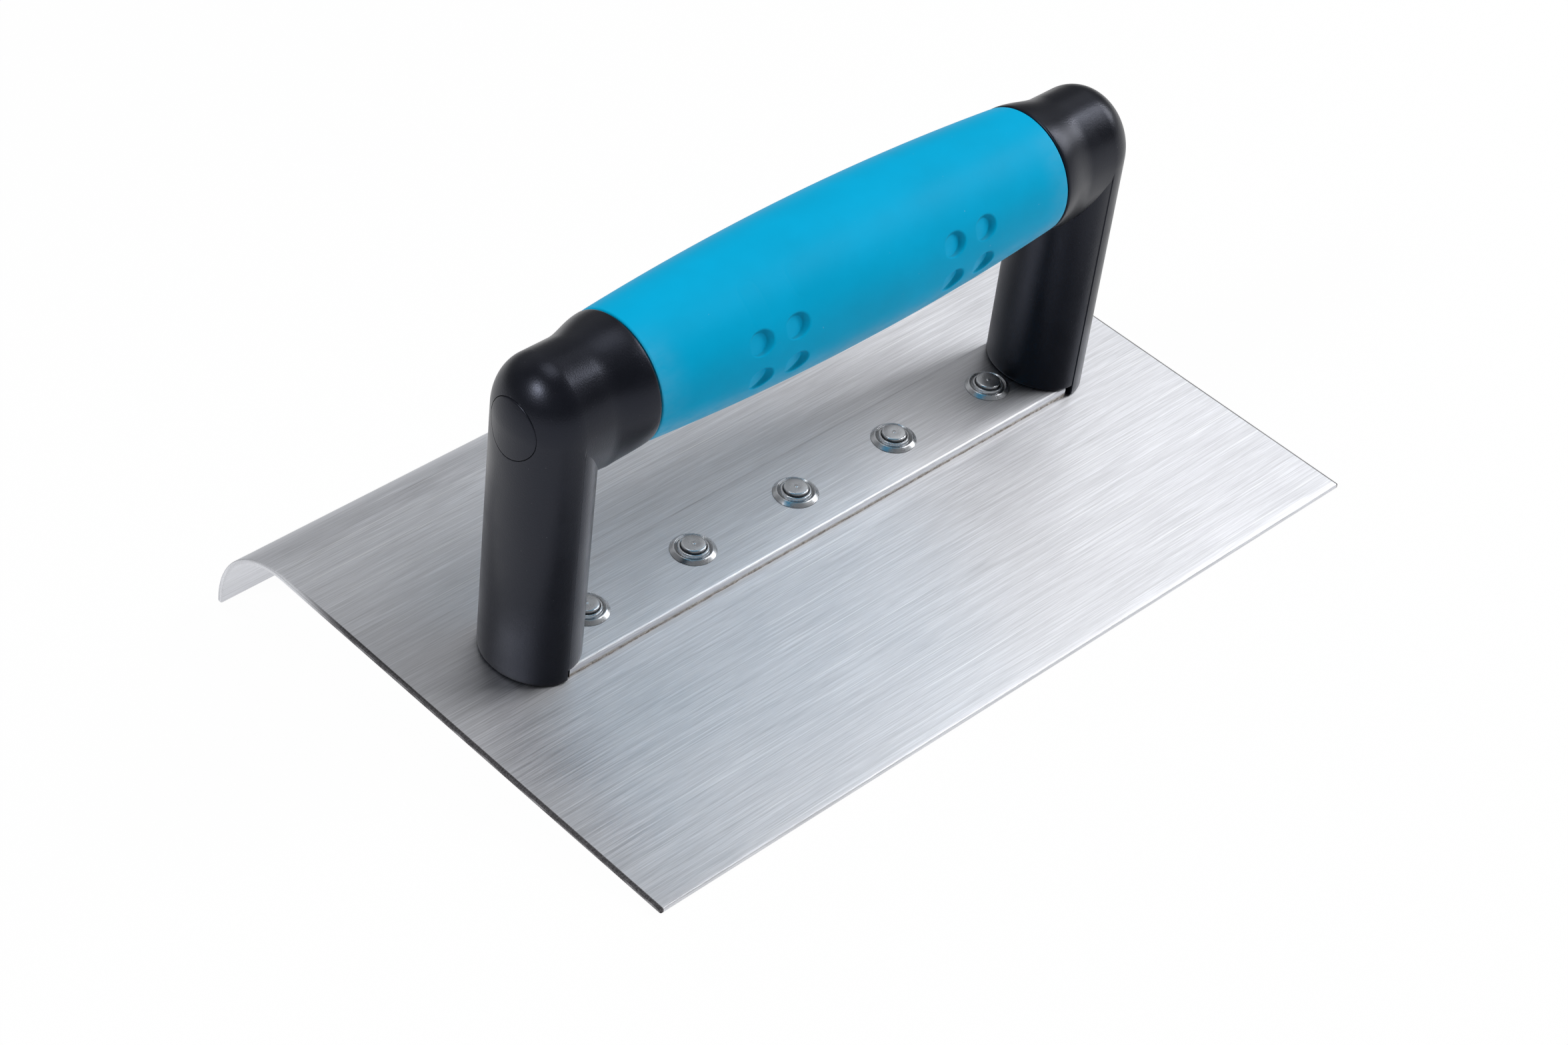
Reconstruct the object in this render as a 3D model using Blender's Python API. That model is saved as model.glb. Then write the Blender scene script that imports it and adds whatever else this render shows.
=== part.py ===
"""Hand edger: a steel blade with a rolled lip, a riveted strip and a two-legged handle.

Metres, +Z up. +X runs along the blade, +Y points at the rolled lip and z = 0 is the blade's
flat underside. The origin is the middle of that flat underside. The handle, its strip and its
rivets share one line along X, which an empty holds in the middle of the blade's overall width.
"""
import math

import bmesh
import bpy
import numpy as np

# Room left between two pieces that touch.
CLEAR = 0.0003

# Blade
BLADE_LENGTH = 0.190
BLADE_WIDTH = 0.130
BLADE_THICK = 0.0012
LIP_RADIUS = 0.020
EDGE_ROUND = 0.0004

# Strip under the handle
STRIP_WIDTH = 0.021
STRIP_THICK = 0.0020
STRIP_SHOULDER = 0.0010
TONGUE_WIDTH = 0.011
TONGUE_LENGTH = 0.0045

# Rivets
RIVET_COUNT = 5
RIVET_MARGIN = 0.0009
RIVET_RADIUS = 0.0020
RIVET_FOOT_RADIUS = 0.0034
RIVET_FLANGE_RADIUS = 0.0048
RIVET_RIM_RADIUS = 0.0039
RIVET_TIER_RADIUS = 0.0030
RIVET_BUTTON_RADIUS = 0.0026
RIVET_RIM_HEIGHT = 0.0008
RIVET_TIER_HEIGHT = 0.0011
RIVET_BUTTON_HEIGHT = 0.0018

# Legs and elbows
LEG_PITCH = 0.1404
LEG_DEPTH = 0.0182
LEG_WIDTH = 0.0226
LEG_STEP = 0.0006
FOOT_ROUND = 0.0008
ARM_LENGTH = 0.0073
FLARE_LENGTH = 0.0095
ELBOW_RISE = 0.0122
ELBOW_DROP = 0.0032
ELBOW_WALL = 0.0040

# Grip
GRIP_HEIGHT = 0.0606
GRIP_END_RADIUS = 0.0133
GRIP_MID_RADIUS = 0.0155
CORE_RADIUS = 0.0085
SPIGOT_LENGTH = 0.0080

# Plugs and screws
PLUG_RADIUS = 0.0061
PLUG_DEPTH = 0.0030
SCREW_RADIUS = 0.0019
END_HEAD_RADIUS = 0.0038
END_HEAD_HEIGHT = 0.0024
END_SCREW_GRIP = 0.0130
FOOT_HEAD_RADIUS = 0.0033
FOOT_SCREW_LENGTH = 0.0220

# Places that follow from the sizes above
FLAT_WIDTH = BLADE_WIDTH - LIP_RADIUS - BLADE_THICK
HANDLE_Y = (BLADE_WIDTH - FLAT_WIDTH) / 2
STRIP_BOTTOM = BLADE_THICK + CLEAR
STRIP_TOP = STRIP_BOTTOM + STRIP_THICK
LEG_X = LEG_PITCH / 2
INNER_X = LEG_X - LEG_DEPTH / 2
OUTER_X = LEG_X + LEG_DEPTH / 2
RIVET_LAST_X = INNER_X + LEG_STEP - RIVET_MARGIN - RIVET_FLANGE_RADIUS
SEAM_X = INNER_X - ARM_LENGTH
ARM_START = SEAM_X + CLEAR
ELBOW_HALF = (GRIP_END_RADIUS + ELBOW_RISE) / 2
ELBOW_MID = GRIP_HEIGHT + ELBOW_RISE - ELBOW_HALF
SPIGOT_RADIUS = min(LEG_WIDTH / 2, ELBOW_RISE) - ELBOW_WALL - CLEAR
CORE_END = ARM_START + SPIGOT_LENGTH
PLUG_FLOOR = OUTER_X - PLUG_DEPTH
HEAD_OUTER = PLUG_FLOOR - CLEAR
HEAD_SEAT = HEAD_OUTER - END_HEAD_HEIGHT
SCREW_TIP = CORE_END - END_SCREW_GRIP
FOOT_SCREW_TIP = STRIP_BOTTOM + FOOT_SCREW_LENGTH

SIDES = {"left": -1.0, "right": 1.0}


def clear_scene():
    for old in list(bpy.data.objects):
        bpy.data.objects.remove(old, do_unlink=True)


def material(name, colour, roughness, metallic):
    made = bpy.data.materials.new(name)
    made.use_nodes = True
    shader = made.node_tree.nodes["Principled BSDF"]
    shader.inputs["Base Color"].default_value = (*colour, 1.0)
    shader.inputs["Roughness"].default_value = roughness
    shader.inputs["Metallic"].default_value = metallic
    return made


def add_object(name, bm, finish=None):
    """Turn a bmesh into a named object with its faces pointing out."""
    bmesh.ops.recalc_face_normals(bm, faces=bm.faces)
    mesh = bpy.data.meshes.new(name)
    bm.to_mesh(mesh)
    bm.free()
    if finish:
        mesh.materials.append(finish)
    mesh.shade_smooth()
    mesh.set_sharp_from_angle(angle=math.radians(35))
    thing = bpy.data.objects.new(name, mesh)
    bpy.context.scene.collection.objects.link(thing)
    return thing


def loft(name, rings, finish=None):
    """Join closed rings of points in order and cap both ends."""
    bm = bmesh.new()
    rows = [[bm.verts.new(point) for point in ring] for ring in rings]
    count = len(rows[0])
    for low, high in zip(rows, rows[1:]):
        for i in range(count):
            j = (i + 1) % count
            bm.faces.new((low[i], low[j], high[j], high[i]))
    bm.faces.new(rows[0][::-1])
    bm.faces.new(rows[-1])
    return add_object(name, bm, finish)


def turned(name, profile, axis="Z", steps=28, finish=None):
    """Spin (radius, position) pairs about an axis; both ends close on the axis or on a flat."""
    rings = []
    for radius, place in profile:
        ring = []
        for i in range(steps):
            angle = 2 * math.pi * i / steps
            u, v = radius * math.cos(angle), radius * math.sin(angle)
            ring.append((u, v, place) if axis == "Z" else (place, u, v))
        rings.append(ring)
    return loft(name, rings, finish)


def hide(cutter):
    cutter.hide_render = True
    cutter.display_type = "WIRE"
    return cutter


def boolean(target, tool, operation="DIFFERENCE"):
    """Add a Boolean, apply it and remove the tool."""
    step = target.modifiers.new(operation.lower(), "BOOLEAN")
    step.operation = operation
    step.solver = "EXACT"
    step.object = hide(tool)
    bpy.context.view_layer.update()
    result = bpy.data.meshes.new_from_object(target.evaluated_get(bpy.context.evaluated_depsgraph_get()))
    target.modifiers.remove(step)
    target.data = result
    bpy.data.objects.remove(tool, do_unlink=True)
    return target


def box(name, low, high):
    rings = []
    for z in (low[2], high[2]):
        rings.append([(low[0], low[1], z), (high[0], low[1], z), (high[0], high[1], z), (low[0], high[1], z)])
    return loft(name, rings)


def placed(thing, x=0.0, y=0.0, z=0.0):
    thing.location = (x, y, z)
    return thing


def rivet_places():
    """Rivets spaced evenly along the strip, the last ones just inside the legs."""
    return [float(x) for x in np.linspace(-RIVET_LAST_X, RIVET_LAST_X, RIVET_COUNT)]


def blade_outline():
    """Blade section in the YZ plane: flat sheet, quarter-round lip and rounded edges."""
    front = -FLAT_WIDTH / 2
    outer = LIP_RADIUS + BLADE_THICK
    bend_y = FLAT_WIDTH / 2
    bend_z = -LIP_RADIUS
    r = min(EDGE_ROUND, 0.45 * BLADE_THICK)
    points = []
    for a in np.linspace(90, 0, 17):
        angle = math.radians(a)
        points.append((bend_y + outer * math.cos(angle), bend_z + outer * math.sin(angle)))
    low = bend_z - r
    for a in np.linspace(0, -90, 4):
        angle = math.radians(a)
        points.append((bend_y + outer - r + r * math.cos(angle), bend_z + r * math.sin(angle)))
    for a in np.linspace(-90, -180, 4):
        angle = math.radians(a)
        points.append((bend_y + LIP_RADIUS + r + r * math.cos(angle), low + r + r * math.sin(angle)))
    for a in np.linspace(0, 90, 17):
        angle = math.radians(a)
        points.append((bend_y + LIP_RADIUS * math.cos(angle), bend_z + LIP_RADIUS * math.sin(angle)))
    for a in np.linspace(-90, -180, 4):
        angle = math.radians(a)
        points.append((front + r + r * math.cos(angle), r + r * math.sin(angle)))
    for a in np.linspace(180, 90, 4):
        angle = math.radians(a)
        points.append((front + r + r * math.cos(angle), BLADE_THICK - r + r * math.sin(angle)))
    kept = []
    for point in points:
        if not kept or math.dist(point, kept[-1]) > 1e-6:
            kept.append(point)
    if math.dist(kept[0], kept[-1]) < 1e-6:
        kept.pop()
    return kept


def make_blade(finish):
    half = BLADE_LENGTH / 2
    outline = blade_outline()
    rings = [[(x, y, z) for y, z in outline] for x in (-half, half)]
    blade = loft("blade", rings, finish)
    for x in rivet_places():
        sink = BLADE_THICK * 0.75
        hole = turned("hole", [
            (RIVET_FOOT_RADIUS + CLEAR, -BLADE_THICK),
            (RIVET_FOOT_RADIUS + CLEAR, 0.0),
            (RIVET_RADIUS + CLEAR, sink),
            (RIVET_RADIUS + CLEAR, 2 * BLADE_THICK),
        ])
        boolean(blade, placed(hole, x, HANDLE_Y))
    return blade


def make_strip(finish):
    shoulder = LEG_X - STRIP_SHOULDER
    tip = LEG_X + TONGUE_LENGTH
    w, n = STRIP_WIDTH / 2, TONGUE_WIDTH / 2
    outline = [
        (-shoulder, -w), (shoulder, -w), (shoulder, -n), (tip, -n), (tip, n), (shoulder, n),
        (shoulder, w), (-shoulder, w), (-shoulder, n), (-tip, n), (-tip, -n), (-shoulder, -n),
    ]
    rings = [[(x, y, z) for x, y in outline] for z in (STRIP_BOTTOM, STRIP_TOP)]
    strip = loft("spine_plate", rings, finish)
    for x in rivet_places():
        hole = turned("hole", [(RIVET_RADIUS + CLEAR, 0.0), (RIVET_RADIUS + CLEAR, 2 * STRIP_TOP)])
        boolean(strip, placed(hole, x))
    for side in SIDES.values():
        sink = FOOT_HEAD_RADIUS - SCREW_RADIUS
        hole = turned("hole", [
            (FOOT_HEAD_RADIUS + CLEAR, 0.0),
            (FOOT_HEAD_RADIUS + CLEAR, STRIP_BOTTOM),
            (SCREW_RADIUS + CLEAR, STRIP_BOTTOM + sink),
            (SCREW_RADIUS + CLEAR, 2 * STRIP_TOP),
        ])
        boolean(strip, placed(hole, side * LEG_X))
    return strip


def rivet_profile():
    sink = BLADE_THICK * 0.75
    top = STRIP_TOP
    ease = 0.25 * (RIVET_BUTTON_HEIGHT - RIVET_TIER_HEIGHT)
    return [
        (RIVET_FOOT_RADIUS, 0.0),
        (RIVET_RADIUS, sink),
        (RIVET_RADIUS, top + CLEAR),
        (RIVET_FLANGE_RADIUS, top + CLEAR),
        (RIVET_RIM_RADIUS, top + RIVET_RIM_HEIGHT),
        (RIVET_TIER_RADIUS, top + RIVET_RIM_HEIGHT),
        (RIVET_TIER_RADIUS, top + RIVET_TIER_HEIGHT),
        (RIVET_BUTTON_RADIUS, top + RIVET_TIER_HEIGHT),
        (RIVET_BUTTON_RADIUS, top + RIVET_BUTTON_HEIGHT - ease),
        (RIVET_BUTTON_RADIUS - ease, top + RIVET_BUTTON_HEIGHT),
    ]


def make_rivets(finish):
    for number, x in enumerate(rivet_places(), 1):
        placed(turned(f"rivet_{number}", rivet_profile(), steps=24, finish=finish), x)


def arm_rings(side, steps=32):
    """Rings along X: round at the grip's end, an oval at the leg, then shrinking inside the elbow.

    The underside falls by ELBOW_DROP on its way to the leg.
    """
    rings = []
    flare = min(FLARE_LENGTH, LEG_X - ARM_START)
    stops = [(ARM_START + flare * share, share) for share in (0.0, 0.2, 0.4, 0.6, 0.8, 1.0)]
    stops.append((LEG_X + CLEAR, 1.0))
    stops.append((LEG_X + 0.25 * LEG_DEPTH, 1.2))
    for x, share in stops:
        ease = min(share, 1.0)
        ease = ease * ease * (3 - 2 * ease)
        tall = GRIP_END_RADIUS + (ELBOW_HALF + CLEAR / 5 - GRIP_END_RADIUS) * ease
        wide = GRIP_END_RADIUS + (LEG_WIDTH / 2 + CLEAR / 5 - GRIP_END_RADIUS) * ease
        if share > 1:
            tall, wide = 0.8 * tall, 0.8 * wide
        middle = GRIP_HEIGHT + (ELBOW_MID - GRIP_HEIGHT) * ease
        under = tall + ELBOW_DROP * min(1.0, (x - ARM_START) / ARM_LENGTH)
        ring = []
        for i in range(steps):
            angle = 2 * math.pi * (i + 0.5) / steps
            lift = math.sin(angle)
            ring.append((side * x, wide * math.cos(angle), middle + lift * (tall if lift > 0 else under)))
        rings.append(ring)
    return rings


def shell_rings(side, steps=16):
    """Level rings of the outer half: a half oval below, closing in as a dome above the elbow's middle."""
    deep, wide = LEG_DEPTH / 2, LEG_WIDTH / 2
    foot = STRIP_BOTTOM
    r = min(FOOT_ROUND, 0.25 * deep)
    levels = [(foot, -r), (foot + 0.3 * r, -0.3 * r), (foot + r, 0.0), (ELBOW_MID, 0.0)]
    rings = []
    for z, inset in levels:
        rings.append(half_oval(side, LEG_X, deep + inset, wide + inset, z, steps))
    for a in np.linspace(10, 82, 9):
        rise, close = math.sin(math.radians(a)), math.cos(math.radians(a))
        rings.append(half_oval(side, LEG_X, deep * close, wide * close, ELBOW_MID + ELBOW_HALF * rise, steps))
    return rings


def half_oval(side, middle, deep, wide, z, steps):
    """Half an oval on the outer side of a plane at x = middle, closed by that plane."""
    ring = []
    for i in range(steps + 1):
        angle = math.pi * (i / steps - 0.5)
        ring.append((side * (middle + deep * math.cos(angle)), wide * math.sin(angle), z))
    return ring


def insert_rings(side, steps=14):
    """Inner half of the leg, set back by the step, from the strip up into the arm."""
    deep = LEG_DEPTH / 2 - LEG_STEP
    wide = LEG_WIDTH / 2 - LEG_STEP
    back = LEG_X + 0.3 * LEG_DEPTH
    foot = STRIP_TOP + CLEAR
    top = ELBOW_MID - 0.2 * ELBOW_HALF
    r = min(FOOT_ROUND, 0.25 * deep)
    rings = []
    for z, inset in ((foot, -r), (foot + 0.3 * r, -0.3 * r), (foot + r, 0.0), (top, 0.0)):
        ring = []
        for angle in np.radians(np.linspace(-86, 86, steps + 1)):
            x = LEG_X - (deep + inset) * math.cos(angle)
            ring.append((side * x, (wide + inset) * math.sin(angle), z))
        ring.append((side * back, 0.55 * (wide + inset), z))
        ring.append((side * back, -0.55 * (wide + inset), z))
        rings.append(ring)
    return rings


def leg_body(name, side, finish=None):
    leg = loft(name, shell_rings(side), finish)
    boolean(leg, loft("arm", arm_rings(side)), "UNION")
    boolean(leg, loft("inner_half", insert_rings(side)), "UNION")
    return leg


def along_x(name, side, profile, steps=28):
    """Turned tool on the grip's line, mirrored to one side."""
    tool = turned(name, [(r, side * x) for r, x in profile], axis="X", steps=steps)
    return placed(tool, z=GRIP_HEIGHT)


def make_leg(word, side, finish):
    leg = leg_body(f"leg_{word}", side, finish)
    socket = [
        (SPIGOT_RADIUS + CLEAR, ARM_START - 2 * CLEAR),
        (SPIGOT_RADIUS + CLEAR, CORE_END + CLEAR),
        (SCREW_RADIUS + CLEAR, CORE_END + CLEAR),
        (SCREW_RADIUS + CLEAR, HEAD_SEAT - CLEAR),
        (END_HEAD_RADIUS + CLEAR, HEAD_SEAT - CLEAR),
        (END_HEAD_RADIUS + CLEAR, PLUG_FLOOR - CLEAR),
        (PLUG_RADIUS + CLEAR, PLUG_FLOOR - CLEAR),
        (PLUG_RADIUS + CLEAR, OUTER_X + PLUG_DEPTH),
    ]
    boolean(leg, along_x("socket", side, socket))
    tongue = TONGUE_WIDTH / 2 + CLEAR
    tip = LEG_X + TONGUE_LENGTH + CLEAR
    ends = sorted((side * (LEG_X - STRIP_SHOULDER - CLEAR), side * tip))
    slot = box("slot", (ends[0], -tongue, 0.0), (ends[1], tongue, STRIP_TOP + CLEAR))
    boolean(leg, slot)
    bore = turned("bore", [
        (SCREW_RADIUS + CLEAR, 0.0),
        (SCREW_RADIUS + CLEAR, FOOT_SCREW_TIP + CLEAR),
    ])
    boolean(leg, placed(bore, side * LEG_X))
    return leg


def make_plug(word, side, finish):
    plug = along_x(f"end_plug_{word}", side, [(PLUG_RADIUS, PLUG_FLOOR), (PLUG_RADIUS, OUTER_X + PLUG_DEPTH)])
    plug.data.materials.append(finish)
    return boolean(plug, leg_body("face", side), "INTERSECT")


def make_end_screw(word, side, finish):
    screw = along_x(f"end_screw_{word}", side, [
        (0.3 * SCREW_RADIUS, SCREW_TIP),
        (SCREW_RADIUS, SCREW_TIP + SCREW_RADIUS),
        (SCREW_RADIUS, HEAD_SEAT),
        (END_HEAD_RADIUS, HEAD_SEAT),
        (END_HEAD_RADIUS, HEAD_SEAT + 0.6 * END_HEAD_HEIGHT),
        (0.7 * END_HEAD_RADIUS, HEAD_OUTER),
    ], steps=20)
    screw.data.materials.append(finish)
    return screw


def make_foot_screw(word, side, finish):
    sink = FOOT_HEAD_RADIUS - SCREW_RADIUS
    screw = turned(f"foot_screw_{word}", [
        (FOOT_HEAD_RADIUS, STRIP_BOTTOM),
        (SCREW_RADIUS, STRIP_BOTTOM + sink),
        (SCREW_RADIUS, FOOT_SCREW_TIP - SCREW_RADIUS),
        (0.3 * SCREW_RADIUS, FOOT_SCREW_TIP),
    ], steps=20, finish=finish)
    return placed(screw, side * LEG_X)


def make_core(finish):
    core = turned("grip_core", [
        (SPIGOT_RADIUS, -CORE_END),
        (SPIGOT_RADIUS, -SEAM_X),
        (CORE_RADIUS, -SEAM_X),
        (CORE_RADIUS, SEAM_X),
        (SPIGOT_RADIUS, SEAM_X),
        (SPIGOT_RADIUS, CORE_END),
    ], axis="X", finish=finish)
    placed(core, z=GRIP_HEIGHT)
    for side in SIDES.values():
        pilot = [(SCREW_RADIUS + CLEAR, SCREW_TIP - CLEAR), (SCREW_RADIUS + CLEAR, CORE_END + SPIGOT_LENGTH)]
        boolean(core, along_x("pilot", side, pilot, steps=20))
    return core


def make_sleeve(finish):
    """Barrel-shaped sleeve: the radius falls from the middle to the ends as a parabola."""
    profile = []
    for x in np.linspace(-SEAM_X, SEAM_X, 17):
        swell = 1 - (x / SEAM_X) ** 2
        profile.append((GRIP_END_RADIUS + (GRIP_MID_RADIUS - GRIP_END_RADIUS) * swell, float(x)))
    sleeve = turned("grip_sleeve", profile, axis="X", steps=40, finish=finish)
    placed(sleeve, z=GRIP_HEIGHT)
    bore = [(CORE_RADIUS + CLEAR, -SEAM_X - GRIP_END_RADIUS), (CORE_RADIUS + CLEAR, SEAM_X + GRIP_END_RADIUS)]
    return boolean(sleeve, along_x("bore", 1.0, bore, steps=40))


def hang_on_line(blade):
    """Move everything but the blade onto the handle's line through one parent empty."""
    line = bpy.data.objects.new("handle_line", None)
    line.location = (0.0, HANDLE_Y, 0.0)
    for thing in list(bpy.context.scene.collection.objects):
        if thing is not blade:
            thing.parent = line
    bpy.context.scene.collection.objects.link(line)


def main():
    clear_scene()
    steel = material("brushed_stainless", (0.62, 0.63, 0.65), 0.32, 1.0)
    shiny = material("turned_steel", (0.60, 0.63, 0.65), 0.18, 1.0)
    black = material("black_plastic", (0.012, 0.012, 0.014), 0.42, 0.0)
    plug = material("plug_plastic", (0.014, 0.014, 0.016), 0.50, 0.0)
    blue = material("blue_sleeve", (0.0, 0.41, 0.68), 0.45, 0.0)
    inner = material("core_plastic", (0.03, 0.03, 0.03), 0.55, 0.0)
    blade = make_blade(steel)
    make_strip(steel)
    make_rivets(shiny)
    for word, side in SIDES.items():
        make_leg(word, side, black)
        make_plug(word, side, plug)
        make_end_screw(word, side, shiny)
        make_foot_screw(word, side, shiny)
    make_core(inner)
    make_sleeve(blue)
    hang_on_line(blade)
    bpy.context.view_layer.update()


main()
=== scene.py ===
"""Looks of a hand edging trowel: brushed blade with a rolled lip, riveted strip, black legs, blue grip.

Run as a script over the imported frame. Lengths are metres in the frame's own axes: +X along the
blade, +Y towards the lip and z = 0 on the flat underside.
"""
import math

import bmesh
import bpy
import numpy as np
from bpy.props import FloatProperty, FloatVectorProperty, PointerProperty
from mathutils import Matrix, Vector


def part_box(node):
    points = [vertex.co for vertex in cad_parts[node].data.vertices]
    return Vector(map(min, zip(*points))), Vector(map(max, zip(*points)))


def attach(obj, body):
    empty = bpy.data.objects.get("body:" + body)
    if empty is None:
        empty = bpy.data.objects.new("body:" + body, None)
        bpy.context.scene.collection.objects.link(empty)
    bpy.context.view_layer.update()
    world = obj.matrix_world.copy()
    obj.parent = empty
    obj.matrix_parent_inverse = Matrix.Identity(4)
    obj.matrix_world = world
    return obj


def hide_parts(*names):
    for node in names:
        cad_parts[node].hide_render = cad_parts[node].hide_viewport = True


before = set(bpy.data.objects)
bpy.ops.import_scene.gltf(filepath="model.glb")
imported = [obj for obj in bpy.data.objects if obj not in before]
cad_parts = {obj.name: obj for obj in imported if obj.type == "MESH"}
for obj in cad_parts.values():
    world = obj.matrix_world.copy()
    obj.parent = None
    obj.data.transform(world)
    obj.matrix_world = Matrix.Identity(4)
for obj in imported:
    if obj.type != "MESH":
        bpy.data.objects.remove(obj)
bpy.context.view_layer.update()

bl_info = {
    "name": "Hand Edger Looks",
    "version": (1, 0, 0),
    "blender": (4, 5, 0),
    "location": "View3D > Sidebar > Edger",
    "description": "Builds the visible pieces of a hand edging trowel around its packed frame",
    "category": "Object",
}

BLADE_LOW, BLADE_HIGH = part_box("blade")
STRIP_LOW, STRIP_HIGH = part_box("spine_plate")
LEG_LOW, LEG_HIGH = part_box("leg_right")
SLEEVE_LOW, SLEEVE_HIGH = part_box("grip_sleeve")
CORE_LOW, CORE_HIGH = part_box("grip_core")
PLUG_LOW, PLUG_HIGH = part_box("end_plug_right")

MM = 0.001
HANDLE_Y = (LEG_LOW.y + LEG_HIGH.y) / 2
GRIP_HEIGHT = (CORE_LOW.z + CORE_HIGH.z) / 2
SIDES = {"left": -1.0, "right": 1.0}

# Brushing: noise scales along X, Y and Z
FINE_BRUSH = (75.0, 5400.0, 5400.0)
BROAD_BRUSH = (24.0, 1500.0, 1500.0)
SCRATCHES = (17.0, 6400.0, 6400.0)

# Blade: width of the rolled left edge darkened as painted shade, its share on the cut faces, the tones of both
ROLLED_EDGE = 0.0006
CUT_FACE_SHARE = 0.70
BLADE_END_SHADE = ((0.085, 0.082, 0.087), (0.19, 0.185, 0.195))

# Strip: points along it, the torn band's height, place and seed, and the tones of the tear
STRIP_ROWS = 401
TEAR_HEIGHT = 0.35
TEAR_START = 0.6
TEAR_REACH = 2
TEAR_SEED = 11
TONGUE_END_MARK = 0.6
UNDERSIDE_SHARE = 0.999
STRIP_CUT = ((0.30, 0.27, 0.24), (0.70, 0.66, 0.61))

# Rivets in millimetres: radius and height of the foot over the underside and of the head over the strip,
# the rounding of each corner between the ends, and radius, reach and darkness of the painted shade in the
# grooves
RIVET_NODES = ["rivet_1", "rivet_2", "rivet_3", "rivet_4", "rivet_5"]
RIVET_FOOT = [(0.0, -0.04), (3.2, -0.03), (3.4, 0.06), (2.0, 0.9)]
RIVET_HEAD = [
    (2.0, 0.0), (4.8, -0.02), (4.78, 0.10), (4.02, 0.74), (3.86, 0.80), (3.62, 0.46), (3.26, 0.48),
    (3.12, 1.06), (2.80, 1.12), (2.62, 0.98), (2.56, 1.77), (1.1, 1.79), (0.36, 1.78), (0.24, 1.85),
    (0.0, 1.86),
]
RIVET_ROUNDS = [.1, .1, .05, .05, .05, .06, .12, .1, .14, .14, .12, .08, .06, .42, .3, .12, .1]
RIVET_GROOVE_SHADE = [(3.46, 0.26, 0.8), (2.66, 0.16, 1.0), (4.85, 0.12, 1.0)]
RIVET_STEPS = 112

# Legs: rounding of the elbow's mouth, play under the two halves of the foot, rounding of the seam between
# the halves and the height over which it grows, and the hidden back of the inner half
MOUTH_ROUND = 0.0004
OUTER_FOOT_GAP = 0.00002
INNER_FOOT_GAP = 0.00001
SEAM_ROUND = 0.0002
SEAM_FADE = 0.004
INNER_TOP_DROP = 0.002
INNER_BACK = 0.004
INNER_BACK_SHARE = 0.6

# Plugs: gap round the plug, rounding of its rim, how far it stands proud, its thickness, depth of the
# recess, reach within which the skin's points move onto the recess's edge, and margin of close rows
PLUG_GAP = 0.00011
PLUG_RIM = 0.00016
PLUG_PROUD = 0.00002
PLUG_THICK = 0.0016
RECESS_DEPTH = 0.0007
RECESS_SNAP = 0.00013
RECESS_MARGIN = 0.0012

# Sleeve: rounding of its ends, play round the core, and the stretches that need close points
SLEEVE_ROUND = 0.00035
BORE_GAP = 0.0001
CLOSE_PLACES = [(-0.0339, -0.0155), (0.0165, 0.0325)]
CLOSE_ANGLES = [(math.radians(108), math.radians(205)), (math.radians(-25), math.radians(35))]

# Dimples: places and angles, the angle from which the front begins, stretch along and around the sleeve,
# slope of the wall, height of the blend between wall and floor, and depth over which a wall's painted shade
# grows
DIMPLE_PLACES = [-0.0303, -0.0215, 0.0201, 0.0289]
DIMPLE_ANGLES = np.radians([159.0, 190.5, 21.0, -10.5])
FRONT_FROM = math.radians(100)
DIMPLE_ALONG, DIMPLE_AROUND = 1.08, 0.90
DIMPLE_SLOPE = 0.95
DIMPLE_BLEND = 0.00022
WALL_SHADE_DEPTH = 0.00025

# Faint mould marks: place, angle in degrees and half length, then radius, width and depth of their line
MOULD_MARKS = [(-0.0290, 132.0, 0.0030), (-0.0178, 128.0, 0.0016)]
MOULD_RADIUS, MOULD_WIDTH, MOULD_DEPTH = 0.0022, 0.0003, 0.00002

# Stage: camera, then name, place, aim, width, height and power of each lamp, then the room and the floor
CAMERA_PLACE = (-0.40196, -0.34158, 0.46670)
CAMERA_RIGHT = (0.720914, -0.685904, 0.099091)
CAMERA_UP = (0.404673, 0.532708, 0.743278)
CAMERA_LENS, SENSOR_WIDTH = 80.69, 36.0
LAMPS = [
    ("right_strip", (0.60, 0.00, 0.80), (0.0, 0.0, 0.03), 1.00, 0.25, 0.52),
    ("right_softbox", (0.57, -0.24, 0.80), (0.0, 0.0, 0.03), 0.45, 0.15, 1.90),
    ("far_lamp", (0.70, 0.35, 0.62), (0.0, 0.0, 0.03), 0.35, 0.35, 0.16),
    ("key_lamp", (0.90, -0.24, 0.50), (0.0, 0.0, 0.03), 0.36, 0.36, 2.5),
    ("spot_lamp", (0.80, -0.10, 0.66), (0.0, 0.0, 0.05), 0.10, 0.10, 0.80),
    ("left_lamp", (-0.77, 0.10, 0.66), (0.0, 0.0, 0.05), 0.22, 0.22, 4.0),
    ("top_softbox", (0.05, 0.25, 1.20), (0.0, 0.0, 0.03), 0.60, 0.60, 2.8),
    ("back_softbox", (0.10, 1.10, 0.75), (0.0, 0.0, 0.03), 1.20, 0.90, 0.90),
]
ROOM_LIGHT, ROOM_COLOUR = 0.19, (0.97, 0.98, 1.0, 1.0)
FLOOR_REACH, FLOOR_CELLS, FLOOR_GAP, FLOOR_GLOW = 4.0, 8, 0.0002, 0.97


def length(name, about, value):
    """Property for a size in metres."""
    return FloatProperty(name=name, description=about, default=value, min=0.0, unit="LENGTH", precision=5)


def share(name, about, value):
    """Property for a share from 0 to 1."""
    return FloatProperty(name=name, description=about, default=value, min=0.0, max=1.0, subtype="FACTOR")


def colour(name, about, value):
    """Property for a linear colour."""
    return FloatVectorProperty(name=name, description=about, default=value, size=3, min=0.0, max=1.0,
                               subtype="COLOR")


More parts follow.
